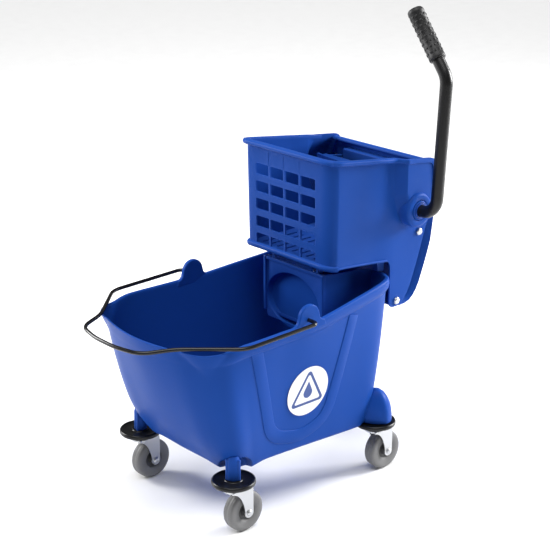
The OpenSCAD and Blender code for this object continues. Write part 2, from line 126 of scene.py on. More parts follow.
BLUE = (0.0098, 0.060, 0.315)
MATS = {
    # edge=0.35 paints a highlight on the convex edges of every blue plastic piece
    "blue_plastic": material("blue_polypropylene", BLUE, 0.36, grain=1400, bump=0.10, vary=0.05, edge=0.35,
                             spec=0.05),
    "label": material("label_film", (0.83, 0.84, 0.85), 0.42, grain=1500, bump=0.05, vary=0.02),
    "bail_wire": material("bail_black_coat", (0.006, 0.006, 0.0065), 0.25, grain=700, bump=0.12, spec=0.4),
    "bumper": material("bumper_rubber", (0.005, 0.005, 0.0055), 0.30, grain=1200, bump=0.2, spec=0.35),
    "zinc_steel": material("zinc_plate", (0.56, 0.57, 0.58),
                           0.36, metal=1.0, grain=500, bump=0.12, streak=12.0),
    "tyre": material("tyre_grey_rubber", (0.17, 0.17, 0.172), 0.55, grain=1300, bump=0.3, vary=0.1),
    "wheel_core": material("core_nylon", (0.045, 0.046, 0.048), 0.42, grain=1200, bump=0.2),
    "lever_coat": material("lever_black_coat", (0.006, 0.006, 0.0065), 0.33, grain=900, bump=0.2, spec=0.4),
    "grip_rubber": material("grip_black_rubber", (0.010, 0.010, 0.011), 0.5, grain=1500, bump=0.3, spec=0.4),
    "bush_nylon": material("bush_blue_nylon", (0.009, 0.055, 0.33), 0.4, grain=1300, bump=0.1, vary=0.06,
                           spec=0.25),
}
SLOTS = {s["node"]: s["material_slot"] for s in frame["record"]["subparts"]}
for n, o in frame["nodes"].items():
    o.data.materials.clear()
    o.data.materials.append(MATS[SLOTS[n]])


# ---------- mesh helpers ----------
def smooth(me, angle=35):
    """Smooth shading, with edges sharper than angle (degrees) left crisp."""
    me.shade_smooth()
    me.set_sharp_from_angle(angle=math.radians(angle))


def obj(name, me, body, slot, nodes=(), mats=None):
    """A piece that rides on a body, takes its finish from a slot, and may replace CAD nodes."""
    o = bpy.data.objects.new(name, me)
    bpy.context.scene.collection.objects.link(o)
    for m in mats or [MATS[slot]]:
        me.materials.append(m)
    if nodes:
        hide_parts(*nodes)
    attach(o, body)
    return o


def from_bm(name, bm):
    """A mesh from a bmesh, with its faces turned outwards."""
    bmesh.ops.recalc_face_normals(bm, faces=bm.faces)
    me = bpy.data.meshes.new(name)
    bm.to_mesh(me)
    bm.free()
    return me


def filled(verts, faces):
    """A bmesh with these vertices (metres) and faces (vertex numbers)."""
    bm = bmesh.new()
    made = [bm.verts.new(v) for v in verts]
    for f in faces:
        bm.faces.new([made[i] for i in f])
    return bm


def band_faces(n, k, q):
    """The faces between row k and row q of closed rows of n points."""
    return [(k * n + i, k * n + (i + 1) % n, q * n + (i + 1) % n, q * n + i) for i in range(n)]


def join(name, meshes):
    """Several closed shells in one mesh."""
    bm = bmesh.new()
    for me in meshes:
        bm.from_mesh(me)
    return from_bm(name, bm)


def bevelled(o, width, segments=3, angle=30):
    """Rounds the edges sharper than angle (degrees), width in metres."""
    b = o.modifiers.new("bevel", "BEVEL")
    b.width, b.segments, b.limit_method, b.angle_limit = width, segments, "ANGLE", math.radians(angle)
    b.use_clamp_overlap = True
    b.miter_outer = "MITER_ARC"
    w = o.modifiers.new("normals", "WEIGHTED_NORMAL")
    w.keep_sharp = False


def cad_copy(node):
    """A clean copy of a CAD node's mesh."""
    bm = bmesh.new()
    bm.from_mesh(frame["nodes"][node].data)
    bmesh.ops.remove_doubles(bm, verts=bm.verts, dist=2e-6)
    bmesh.ops.dissolve_limit(bm, angle_limit=math.radians(0.6), verts=bm.verts, edges=bm.edges)
    me = from_bm(node + "_fine", bm)
    me.shade_smooth()
    return me


def refined(node, body, width):
    """A CAD node with its edges rounded."""
    o = obj(node + "_fine", cad_copy(node), body, SLOTS[node], [node])
    bevelled(o, width, 2, 32)


def lying(x, y, z, turn=1):
    """A place in mm where a lathed shape's Z runs along Y, turned by one quarter either way."""
    return Matrix.Translation((x * MM, y * MM, z * MM)) @ Matrix.Rotation(turn * math.pi / 2, 4, "X")


def prism(name, points, y0, y1):
    """A closed prism: points (x, z) in mm, from y0 to y1 mm."""
    n = len(points)
    v = [(x * MM, y0 * MM, z * MM) for x, z in points] + [(x * MM, y1 * MM, z * MM) for x, z in points]
    f = [tuple(range(n)), tuple(range(2 * n - 1, n - 1, -1))]
    return from_bm(name, filled(v, f + band_faces(n, 0, 1)))


def lathe(name, profile, n=64, place=Matrix.Identity(4)):
    """Turns (radius, height) pairs in mm about Z; a radius of 0 closes the end."""
    verts, faces = [], []
    for r, z in profile:
        for i in range(n):
            a = 2 * math.pi * i / n
            verts.append(place @ Vector((r * MM * math.cos(a), r * MM * math.sin(a), z * MM)))
    for k in range(len(profile) - 1):
        faces += band_faces(n, k, k + 1)
    bm = filled(verts, faces)
    bmesh.ops.remove_doubles(bm, verts=bm.verts, dist=1e-6)
    if profile[0] != profile[-1] and max(profile[0][0], profile[-1][0]) > 0:
        bmesh.ops.holes_fill(bm, edges=[x for x in bm.edges if x.is_boundary])
    return from_bm(name, bm)


def sweep(name, path, radius, sides):
    """A round rod along points, all in mm."""
    P = [Vector(p) * MM for p in path]
    t0 = (P[1] - P[0]).normalized()
    up = Vector((0, 0, 1)) if abs(t0.z) < 0.9 else Vector((0, 1, 0))
    side = t0.cross(up).normalized()
    verts, faces = [], []
    for i, p in enumerate(P):
        a, b = P[max(i - 1, 0)], P[min(i + 1, len(P) - 1)]
        t = (b - a).normalized()
        side = (side - t * side.dot(t)).normalized()
        other = t.cross(side)
        for k in range(sides):
            c = 2 * math.pi * k / sides
            verts.append(p + (side * math.cos(c) + other * math.sin(c)) * (radius * MM))
    for i in range(len(P) - 1):
        faces += band_faces(sides, i, i + 1)
    faces.append(tuple(range(sides - 1, -1, -1)))
    faces.append(tuple(range((len(P) - 1) * sides, len(P) * sides)))
    return from_bm(name, filled(verts, faces))


def arc_path(corners, step=6):
    """Points in mm through corners (point, bend radius), with each corner rounded."""
    out = [Vector(corners[0][0])]
    for i in range(1, len(corners) - 1):
        a, b, c = (Vector(corners[k][0]) for k in (i - 1, i, i + 1))
        r = corners[i][1]
        u, v = (a - b).normalized(), (c - b).normalized()
        half = math.acos(max(-1, min(1, u.dot(v)))) / 2
        centre = b + (u + v).normalized() * (r / math.sin(half))
        first, last = b + u * (r / math.tan(half)), b + v * (r / math.tan(half))
        s, e = first - centre, last - centre
        turn = math.pi - 2 * half
        n = max(2, int(math.degrees(turn) / step))
        for k in range(n + 1):
            f = k / n
            out.append(centre + (s * math.sin((1 - f) * turn) + e * math.sin(f * turn)) / math.sin(turn))
    out.append(Vector(corners[-1][0]))
    return out


def combined(me, tool, how):
    """The boolean how of two closed meshes."""
    a = bpy.data.objects.new("shape", me)
    b = bpy.data.objects.new("tool", tool)
    for o in (a, b):
        bpy.context.scene.collection.objects.link(o)
    m = a.modifiers.new("combine", "BOOLEAN")
    m.operation, m.object, m.solver = how, b, "EXACT"
    bpy.context.view_layer.update()
    done = bpy.data.meshes.new_from_object(a.evaluated_get(bpy.context.evaluated_depsgraph_get()))
    for o in (a, b):
        bpy.data.objects.remove(o)
    return done


def cut(me, tool):
    """me minus tool."""
    return combined(me, tool, "DIFFERENCE")


def step01(a, b, x):
    """A smooth step from 0 at a to 1 at b."""
    t = min(1.0, max(0.0, (x - a) / (b - a)))
    return t * t * (3 - 2 * t)


# ---------- bucket ----------
WALL, LOW_Z, RIM_Z = 3.6, 106.0, 365.0
# Half the outline, from the nose to the wringer end. Each row has x, y at LOW_Z, x, y at RIM_Z, and how
# far the wall swells between the two.
PLAN = [(-164, 0, -272, 0, 22), (-163, 55, -266, 57, 22), (-162, 98, -249, 108, 24),
        (-152, 120, -215, 145, 24), (-120, 126, -168, 163, 8), (-70, 127, -70, 164, 0), (0, 128, 0, 162, 0),
        (100, 130, 110, 148, 2), (151, 127, 188, 133, 8), (166, 111, 208, 114, 10), (169, 78, 214, 78, 4),
        (169, 0, 214, 0, 4)]


def half_ring():
    """A smooth curve through the rows of PLAN, and the sign of each column on the other half."""
    pts = [np.array(p, float) for p in PLAN]
    flip = np.array([1, -1, 1, -1, 1])
    out = []
    for i in range(len(pts) - 2):
        a = pts[1] * flip if i == 0 else pts[i - 1]
        b, c, d = pts[i], pts[i + 1], pts[i + 2]
        sub = 18 if i in (2, 3) else 9
        for s in range(sub):
            t = s / sub
            out.append(0.5 * (2 * b + (c - a) * t + (2 * a - 5 * b + 4 * c - d) * t * t
                              + (3 * b - a - 3 * c + d) * t ** 3))
    for k in range(8):
        out.append(pts[-2] + (pts[-1] - pts[-2]) * k / 8)
    return out, flip


HALF, FLIP = half_ring()
RING = np.array(HALF + [PLAN[-1]] + [h * FLIP for h in HALF[:0:-1]])
SPOUT = (-231.0, 130.0)  # a pouring corner's middle, at the rim


def swell_share(z):
    """How much of the swell the wall has at height z."""
    low = np.sin(np.pi / 2 * np.clip((z - 92) / 100.0, 0, 1)) ** 0.9
    high = np.cos(np.pi / 2 * np.clip((z - 200) / 235.0, 0, 1)) ** 1.1
    return low * high


def ring_at(z, out):
    """The outline at height z (a number, or one per column), moved outwards by out."""
    n = len(RING)
    z = np.broadcast_to(np.asarray(z, float), (n,))
    t = ((z - LOW_Z) / (RIM_Z - LOW_Z))[:, None]
    p = RING[:, :2] + (RING[:, 2:4] - RING[:, :2]) * t
    d = np.roll(p, -1, 0) - np.roll(p, 1, 0)
    nrm = np.stack([-d[:, 1], d[:, 0]], 1)
    nrm /= np.linalg.norm(nrm, axis=1)[:, None]
    swell = RING[:, 4] * swell_share(z)
    # The pouring corners open like a cone towards the rim, and each front corner has an arched niche
    # round its caster's post
    u = np.clip((z - 314) / 46.0, 0, 1.15)
    spout, niche = np.zeros(n), np.zeros(n)
    for s in (1, -1):
        far = np.hypot(RING[:, 2] - SPOUT[0], RING[:, 3] - s * SPOUT[1])
        w = np.maximum(2.0, 42.0 * u)
        spout += 10.0 * u * np.clip(1 - (far / w) ** 2, 0, 1) ** 1.2
        along = (p[:, 0] + 173) * 0.66 + s * (p[:, 1] - s * 136) * 0.75
        size = np.hypot(along / 25.0, np.clip(z - 106, 0, None) / 37.0)
        near = (p[:, 0] < -100) & (p[:, 1] * s > 0)
        k = np.clip((1.04 - size) / 0.12, 0, 1)
        niche += np.where(near, k * k * (3 - 2 * k), 0)
    move = out + swell * (1 - niche) - 9.0 * niche + spout
    return p + nrm * move[:, None]


def rim_height(x):
    """The rim rises a little behind the pouring corners, and again towards the wringer."""
    return 359 + 6 * step01(-215, -165, x) + 23 * min(1, max(0, x / 215.0)) ** 1.05


def bottom(x, y):
    """The underside falls towards the wringer end, and dips at the two front corners."""
    return 112 - 12 * (x + 164) / 333.0 - 5.0 * step01(60, 105, abs(y)) * step01(-90, -130, x)


def tub():
    """The tub as one closed shell: rows of (height, offset) up the outside, over the rim, down the inside."""
    top = np.array([rim_height(x) for x in RING[:, 2]])
    low = np.array([bottom(x, y) for x, y in RING[:, :2]])
    band = np.array([5.0 * step01(-235, -180, x) + 0.6 for x in RING[:, 2]])
    rows = [(low, -16), (low, -9), (low + 0.8, -4.5), (low + 3, -1.6), (low + 7, -0.3)]
    lower, upper = low + 12, top - 27
    for k in range(20):
        rows.append((lower + (165 - lower) * k / 20, 0))
    for k in range(19):
        rows.append((165 + (upper - 165) * k / 18, 0))
    for dz, f in ((-26, 0.03), (-24.6, 0.16), (-23, 0.36), (-21, 0.58), (-18.5, 0.78), (-15.5, 0.93),
                  (-12, 1.0), (-9, 0.99), (-6.4, 0.95), (-4.2, 0.88), (-2.4, 0.78), (-1.1, 0.64)):
        rows.append((top + dz, band * f))
    rows += [(top - 0.3, band * 0.5 - 0.2), (top, band * 0.4 - 0.8)]
    inner = band * 0.0 - WALL
    rows += [(top, inner + 1.6), (top - 0.5, inner + 0.6), (top - 2, inner)]
    deep = low + WALL
    for k in range(24):
        rows.append((top - 6 + (deep + 14 - top + 6) * k / 23, inner))
    rows += [(deep + 8, inner - 0.6), (deep + 3, inner - 2.6), (deep + 0.8, inner - 6), (deep, inner - 11)]
    n = len(RING)
    verts = []
    for z, out in rows:
        out = out if np.ndim(out) else np.full(n, float(out))
        p = ring_at(z, out)
        verts += [(p[i, 0] * MM, p[i, 1] * MM, z[i] * MM) for i in range(n)]
    faces = []
    for k in range(len(rows) - 1):
        faces += band_faces(n, k, k + 1)
    faces.append(tuple(range(n - 1, -1, -1)))
    faces.append(tuple(range((len(rows) - 1) * n, len(rows) * n)))
    return from_bm("tub", filled(verts, faces))


def wall_y(x, z, out, side):
    """The Y of the bucket's side wall at (x, z), in mm."""
    n = len(RING)
    p = ring_at(float(z), np.full(n, float(out)))
    q = p[: n // 2]
    q = q[np.argsort(q[:, 0])]
    q = q[q[:, 1] > 100]
    return side * float(np.interp(x, q[:, 0], q[:, 1]))


def trough():
    """The notch's own walls: two sides, a floor, and the two ridges and the lip along its tub side."""
    side = [(91.4, 404), (96, 404), (120, 400), (205, 391.5), (216, 389.5), (214.5, 376), (198, 276),
            (196, 271.5), (160, 272), (102, 282), (91.4, 294)]
    parts = [prism("side", side, s * 78.8 - 1.8, s * 78.8 + 1.8) for s in (1, -1)]
    floor = [(95, 290), (104, 283), (160, 273), (197, 271.5), (201, 275.5), (160, 276.6), (104, 286.6),
             (95, 297)]
    parts.append(prism("floor", floor, -77.2, 77.2))
    ridge = [(86.6, 296), (86.6, 403), (88, 404.6), (94, 404.6), (94, 296)]
    for s in (1, -1):
        parts.append(prism("ridge", ridge, min(s * 76, s * 82), max(s * 76, s * 82)))
    parts.append(prism("lip", [(88, 398), (88, 404), (94, 404), (94, 398)], -76, 76))
    return parts


def panel():
    """The panel between tub and notch, with its oval recess, as one closed plate."""
    n = 72
    x0, x1 = 91.2, 95.2
    cy, cz = 4.0, 331.0  # the oval's middle
    turns = [(math.cos(2 * math.pi * i / n), math.sin(2 * math.pi * i / n)) for i in range(n)]

    def loop(x, oy, oz):
        return [(x, cy + oy * c, cz + oz * s) for c, s in turns]

    def box(x, y, z0, z1):
        out = []
        for c, s in turns:
            k = min(((y - cy) if c > 0 else (y + cy)) / max(abs(c), 1e-6),
                    ((z1 - cz) if s > 0 else (cz - z0)) / max(abs(s), 1e-6))
            out.append((x, cy + k * c, cz + k * s))
        return out

    loops = [box(x0, 77.4, 283, 402.6), loop(x0, 73.5, 54.5), loop(x0 + 0.6, 72.3, 53.4),
             loop(x0 + 2.5, 71.4, 52.6),
             loop(x0 + 9, 70.5, 51.8), loop(x0 + 11, 69.5, 50.8), loop(x0 + 11.6, 67, 48.5),
             loop(x0 + 11.6, 30, 20)]
    back = [loop(x0 + 15.2, 30, 20), loop(x0 + 15.2, 72, 53), loop(x0 + 14, 74, 55), loop(x1 + 0.8, 75, 56),
            box(x1, 77.4, 283, 402.6)]
    rows = loops + back
    verts = [tuple(c * MM for c in p) for r in rows for p in r]
    faces = []
    m = len(rows)
    for k in range(m):
        if k != len(loops) - 1:  # the recess's floor is filled below, once on each side
            faces += band_faces(n, k, (k + 1) % m)
    bm = filled(verts, faces)
    bmesh.ops.holes_fill(bm, edges=[e for e in bm.edges if e.is_boundary])
    return from_bm("panel", bm)


def ear(side):
    """The lug that the bail handle turns in."""
    pts = [(-62, 353), (-58, 364), (-51, 366.5), (-47, 371)]
    for a in range(172, 7, -8):
        c, s = math.cos(math.radians(a)), math.sin(math.radians(a))
        pts.append((-22 + 23 * c, 376.5 + 23 * s))
    pts += [(3, 371), (7, 366.8), (14, 365), (18, 353)]
    return prism("ear", pts, side * 162.3 - 4.2, side * 162.3 + 4.2)


def on_wall(path, half, height, side):
    """A flat raised rib on the side wall along (x, z) points in mm."""
    P = [Vector((x, 0, z)) for x, z in path]
    left = [(-half, -0.8), (-half, height * 0.25), (-half + 0.5, height * 0.8), (-half + 1.3, height)]
    section = left + [(0, height)] + [(-d, h) for d, h in reversed(left)]
    rows = []
    for i, p in enumerate(P):
        a, b = P[max(i - 1, 0)], P[min(i + 1, len(P) - 1)]
        t = (b - a).normalized()
        across = Vector((-t.z, 0, t.x))
        row = []
        for d, h in section:
            q = p + across * d
            row.append((q.x * MM, wall_y(q.x, q.z, h, side) * MM, q.z * MM))
        rows.append(row)
    m = len(section)
    bm = bmesh.new()
    vs = [[bm.verts.new(q) for q in r] for r in rows]
    for i in range(len(rows) - 1):
        for k in range(m):
            j = (k + 1) % m
            bm.faces.new([vs[i][k], vs[i][j], vs[i + 1][j], vs[i + 1][k]])
    bm.faces.new(vs[0])
    bm.faces.new(list(reversed(vs[-1])))
    return from_bm("rib", bm)


FENDER_LEAN = 0.55


def post(x, y):
    """A caster's post: a slim stub at the front, a rounded fender at the wringer end."""
    if x < 0:
        profile = [(0, 106), (11.6, 106), (12, 106.6), (11.6, 128), (11.2, 142), (8, 149), (0, 150)]
    else:
        profile = [(0, 106), (30.5, 106), (31.5, 107), (31.5, 118), (30.3, 130), (27.5, 142), (22.5, 153),
                   (16, 162), (8, 168), (0, 170)]
    me = lathe("post", profile, 48)
    if x > 0:
        # The fender runs into the side wall on its forward side
        for v in me.vertices:
            if v.co.x < 0:
                v.co.y += math.copysign(FENDER_LEAN, y) * v.co.x
    me.transform(Matrix.Translation((x * MM, y * MM, 0)))
    return me


def build_bucket():
    """The tub with its ribs, posts and panel, and the ears and notch walls as their own pieces."""
    body = tub()
    gap = prism("gap", [(150, 274), (300, 274), (300, 450), (150, 450)], -78.6, 78.6)
    body = cut(body, gap)
    smooth(body, 38)
    parts = [body]
    u_rib = arc_path([((-143, 0, 345), 0), ((-86, 0, 154), 60), ((-14, 0, 135), 70), ((48, 0, 154), 60),
                      ((101, 0, 345), 0)], 4)
    fine = []
    for a, b in zip(u_rib, u_rib[1:]):
        k = max(1, int((b - a).length / 9))
        fine += [a + (b - a) * i / k for i in range(k)]
    fine.append(u_rib[-1])
    for s in (1, -1):
        r = on_wall([(p.x, p.z) for p in fine], 13, 1.4, s)
        smooth(r, 50)
        parts.append(r)
    for _, x, y in CORNERS:
        q = post(x, y)
        smooth(q, 40)
        parts.append(q)
        if x < 0:
            # The front posts have a web to the tub and two rounded edges
            turn = math.radians(-41 if y > 0 else 41)
            pieces = [prism("web", [(-1, 112), (30, 112), (30, 150), (-1, 146)], -3, 3)]
            pieces += [lathe("edge", [(0, 106), (3, 106), (2.9, 144), (0, 145)], 20,
                             Matrix.Translation((-4 * MM, s * 10.5 * MM, 0))) for s in (1, -1)]
            for piece in pieces:
                piece.transform(Matrix.Translation((x * MM, y * MM, 0)) @ Matrix.Rotation(turn, 4, "Z"))
                smooth(piece, 40)
                parts.append(piece)
    p = panel()
    smooth(p, 40)
    parts.append(p)
    obj("bucket_tub", join("bucket_tub", parts), "root", "blue_plastic", ["bucket"])
    e = obj("bucket_ears", join("bucket_ears", [ear(1), ear(-1)]), "root", "blue_plastic")
    e.data.shade_smooth()
    bevelled(e, 0.0022, 4)
    t = obj("bucket_notch", join("bucket_notch", trough()), "root", "blue_plastic")
    t.data.shade_smooth()
    bevelled(t, 0.0012, 3)


build_bucket()


# ---------- label ----------
def rounded(points, r, n=7):
    """A closed outline through (x, y) points with corners rounded to r."""
    out = []
    for i, p in enumerate(points):
        a, b, c = Vector(points[i - 1]), Vector(p), Vector(points[(i + 1) % len(points)])
        u, v = (a - b).normalized(), (c - b).normalized()
        half = math.acos(max(-1, min(1, u.dot(v)))) / 2
        centre = b + (u + v).normalized() * (r / math.sin(half))
        s, e = b + u * (r / math.tan(half)) - centre, b + v * (r / math.tan(half)) - centre
        turn = math.pi - 2 * half
        out += [centre + (s * math.sin((1 - k / n) * turn) + e * math.sin(k / n * turn)) / math.sin(turn)
                for k in range(n + 1)]
    return out


def slab(bm, loops, z0, z1, index):
    """A thin solid between two heights, filled inside one loop or between two with as many points."""
    rows = [[bm.verts.new((p[0] * MM, p[1] * MM, z * MM)) for p in loop] for loop in loops for z in (z0, z1)]
    n = len(loops[0])
    made = []
    for k in range(len(loops)):
        for i in range(n):
            j = (i + 1) % n
            made.append(bm.faces.new([rows[2 * k][i], rows[2 * k][j], rows[2 * k + 1][j],
                                      rows[2 * k + 1][i]]))
    if len(loops) == 1:
        made += [bm.faces.new(rows[0]), bm.faces.new(rows[1])]
    else:
        for z in (0, 1):
            for i in range(n):
                j = (i + 1) % n
                made.append(bm.faces.new([rows[z][i], rows[z][j], rows[2 + z][j], rows[2 + z][i]]))
    for f in made:
        f.material_index = index


def label():
    """A round film on the side wall, with a plain triangle round a drop."""
    bm = bmesh.new()
    disc = [(48.5 * math.cos(math.radians(a)), 48.5 * math.sin(math.radians(a))) for a in range(0, 360, 3)]
    slab(bm, [disc], 0.0, 0.8, 0)
    big = [(-41, -27), (41, -27), (0, 46)]
    small = [(-32, -21.7), (32, -21.7), (0, 35.5)]
    slab(bm, [rounded(big, 6), rounded(small, 3.2)], 0.7, 1.0, 1)
    drop = [(0, 20)] + [(10.4 * math.sin(math.radians(a)), -3.5 - 10.4 * math.cos(math.radians(a)))
                        for a in range(115, -116, -10)]
    slab(bm, [drop], 0.7, 1.0, 1)
    o = obj("label_film", from_bm("label_film", bm), "root", "label", ["label_disc"],
            [MATS["label"], material("label_ink", (0.02, 0.06, 0.25), 0.4, grain=1500, bump=0.05)])
    on_side = Matrix.Translation((-6 * MM, -144.39 * MM, 226 * MM))
    o.data.transform(on_side @ Matrix.Rotation(math.radians(97.6), 4, "X"))


label()

# ---------- bail handle ----------
# Half of the wire from its pivot to the nose, seen from above: ((x, y) from the pivot, bend radius)
BAIL = [((0, 159.5), 0), ((0, 190), 10), ((-160, 190), 45), ((-244, 108), 90), ((-300, 82), 42),
        ((-311.8, 28), 130)]
BAIL_X, BAIL_Z = -26, 373
BAIL_FALL = math.radians(1.5)


def bail():
    """The bent wire, at rest on the bucket's rim."""
    flat = BAIL + [((x, -y), r) for (x, y), r in reversed(BAIL)]
    path = arc_path([((x * math.cos(BAIL_FALL) + BAIL_X, y, BAIL_Z + x * math.sin(BAIL_FALL)), r)
                     for (x, y), r in flat], 5)
    me = sweep("bail_wire", path, 3.5, 24)
    smooth(me, 50)
    obj("bail_wire", me, "bail", "bail_wire", ["bail_handle"])


bail()

# ---------- wringer ----------
# The forward and lower edge of the hub housings, (x, z)
HOUSING = [(229, 660), (229, 538), (236, 512), (248, 486), (262, 474), (284, 470), (345, 471)]
HOUSING_X, HOUSING_Z = zip(*reversed(HOUSING[:-1]))
HOUSING_STANDS, HOUSING_SLOPE = 19.0, 17.5  # how far out, and over what distance
TOP_FALL = 31.0 / 244.0
BOLTS = [(300, 454), (244, 329)]


def wringer_top(x):
    """The height of the wringer's rim, which falls towards the rear."""
    return 627 - (x - 74) * TOP_FALL


def flare(x, z):
    """How far the hub housing stands out from the side wall at (x, z), in mm."""
    if z <= 470.5 or x <= np.interp(z, HOUSING_Z, HOUSING_X):
        return 0.0
    q = np.array([x, z], float)
    d = 1e9
    for a, b in zip(HOUSING, HOUSING[1:]):
        a, b = np.array(a, float), np.array(b, float)
        t = min(1, max(0, (q - a) @ (b - a) / ((b - a) @ (b - a))))
        d = min(d, float(np.linalg.norm(q - a - t * (b - a))))
    t = min(1.0, d / HOUSING_SLOPE)
    soft = 0.12
    if t < soft:
        share = t * t / (2 * soft)
    elif t > 1 - soft:
        share = 1 - soft - (1 - t) ** 2 / (2 * soft)
    else:
        share = t - soft / 2
    return HOUSING_STANDS * share / (1 - soft)


def half_side(rear):
    """The left side of the wall seen from above, from x = rear forwards."""
    out = []
    x = rear
    while x > 226:
        out.append((x, 118.0, 0.0, 1.0))
        x -= 2.5
    for x in range(216, 98, -13):
        out.append((x, 118.0, 0.0, 1.0))
    return out


def wringer_path(rear):
    """The wall seen from above, from the left rear round the grid to the right rear: (x, y, nx, ny) in mm."""
    out = half_side(rear)
    for k in range(16):
        c, d = math.cos(math.radians(90 - 6 * k)), math.sin(math.radians(90 - 6 * k))
        n = Vector((-14 * c, 13 * d)).normalized()
        out.append((87 - 13 * c, 104 + 14 * d, n.x, n.y))
    for y in (92, 78, 66, 54, 42, 30, 18, 6, -6, -18, -30, -42, -54, -66, -76):
        out.append((74.0, y, -1.0, 0.0))
    for k in range(19):
        c, d = math.cos(math.radians(5 * k)), math.sin(math.radians(5 * k))
        n = Vector((-32 * c, -18 * d)).normalized()
        out.append((92 - 18 * c, -86 - 32 * d, n.x, n.y))
    return out + [(x, -y, nx, -ny) for x, y, nx, ny in reversed(half_side(rear))]


def wringer_at(q, z, out):
    """The wall's surface at path point q and height z, moved outwards by out."""
    x, y, nx, ny = q
    draft = 3.0 * min(1, max(0, (606 - z) / 180.0)) * (1 - step01(170, 235, x))
    draft -= 1.0 if y > 90 and x < 200 else 0
    calm = 1 - step01(560, 598, z) if y > 0 else 1
    move = out + flare(x, z) * calm - draft
    return ((x + nx * move) * MM, (y + ny * move) * MM, z * MM)


def sheet_of(rows):
    """A closed slab from rows of points: its section runs down the rows, and its ends are closed."""
    m = len(rows[0])
    bm = bmesh.new()
    vs = [[bm.verts.new(q) for q in r] for r in rows]
    n = len(rows)
    for i in range(n):
        j = (i + 1) % n
        for k in range(m - 1):
            bm.faces.new([vs[i][k], vs[i][k + 1], vs[j][k + 1], vs[j][k]])
    bm.faces.new([r[0] for r in vs])
    bm.faces.new([r[-1] for r in reversed(vs)])
    return from_bm("sheet", bm)


def plate(loops):
    """A closed plate between two loops of points in mm."""
    n = len(loops[0])
    verts = [tuple(c * MM for c in p) for loop in loops for p in loop]
    ends = [tuple(range(n)), tuple(range(n, 2 * n))]
    return from_bm("plate", filled(verts, ends + band_faces(n, 0, 1)))


def plate_x(points, x0, x1):
    """A closed plate from (y, z) points in mm, between two X."""
    return plate([[(x, y, z) for y, z in points] for x in (x0, x1)])


def plate_z(points, z0, z1):
    """A closed plate from (x, y) points in mm, between two Z."""
    return plate([[(x, y, z) for x, y in points] for z in (z0, z1)])


def wringer_wall():
    """The side, grid and side wall: a tall sheet trimmed to its silhouette, with its openings cut."""
    path = wringer_path(331)
    heights = [312, 330, 352, 376, 400, 420, 440, 456] + [462 + 2.6 * k for k in range(33)]
    heights += [558, 575, 592, 609, 634]
    rows = [[wringer_at(q, z, 0) for q in path] for z in heights]
    rows += [[wringer_at(q, z, -3.6) for q in path] for z in reversed(heights)]
    wall = sheet_of(rows)
    side = [(60, 423), (102, 423.5), (160, 419), (206, 414.5), (216, 413), (222, 409), (225, 402), (226, 392),
            (226, 330), (227.5, 322), (231, 318.5), (237, 317.4), (247, 317.6), (255, 320.5), (264, 328),
            (272, 338), (280, 352), (287, 368), (295.5, 391), (303.5, 414), (311, 437), (318, 458),
            (324, 472), (327.5, 484), (327, 505), (324.5, 540), (321, 575), (319.6, 586), (318, 591),
            (314.5, 595.4), (309.5, 598.2), (303, 599.6), (255, 605.2), (240, 606.2), (60, wringer_top(60))]
    wall = combined(wall, prism("silhouette", side, -160, 160), "INTERSECT")
    holes = []
    for y0, y1 in ((53.5, 88.5), (13, 49.5), (-28.5, 9), (-72.5, -33)):
        for r in range(5):
            z = 429 + 34 * r
            holes.append(plate_x(rounded([(y0, z), (y1, z), (y1, z + 21.3), (y0, z + 21.3)], 2.6, 4), 60, 90))
    for y in (51.4, 11, -30.8):
        holes.append(plate_x([(y - 0.7, 589), (y + 0.7, 589), (y + 0.7, 611), (y - 0.7, 611)], 70, 74.5))
    for y in (118.0, -118.0):
        for x, z in BOLTS:
            holes.append(lathe("hole", [(0, -8), (3.3, -8), (3.3, 8), (0, 8)], 24, lying(x, y, z)))
        holes.append(lathe("hole", [(0, -30), (20, -30), (20, 30), (0, 30)], 48,
                           lying(PIVOT_X, y * 1.15, PIVOT_Z)))
    wall = cut(wall, join("holes", holes))
    smooth(wall, 32)
    return wall


def along_wall(path, section, height):
    """A bead on the wall: section (out, up) in mm round each point of the path, at height(x)."""
    rows = []
    for o, u in section:
        rows.append([])
        for q in path:
            z = height(q[0])
            p = Vector(wringer_at(q, z, 0))
            rows[-1].append((p.x + q[2] * o * MM, p.y + q[3] * o * MM, (z + u) * MM))
    me = sheet_of(rows)
    smooth(me, 50)
    return me


def wringer_hem():
    """The rolled rim, which thins out where the rear cover begins."""
    rim = [(-3.4, -7.4), (2.5, -8.2), (5.8, -7.9), (7.4, -6.6), (8.0, -4.0), (7.5, -1.4), (6.0, 0.1),
           (2.5, 0.7), (-2.4, 0.6), (-3.5, -0.2), (-3.9, -1.6)]
    hem = []
    for o, u in rim:
        hem.append([])
        for q in wringer_path(266):
            z = wringer_top(q[0])
            p = Vector(wringer_at(q, z, 0))
            less = 1 - 0.75 * step01(232, 250, q[0]) if o > 0 else 1
            hem[-1].append((p.x + q[2] * o * less * MM, p.y + q[3] * o * less * MM, (z + u) * MM))
    hem = sheet_of(hem)
    smooth(hem, 50)
    return hem


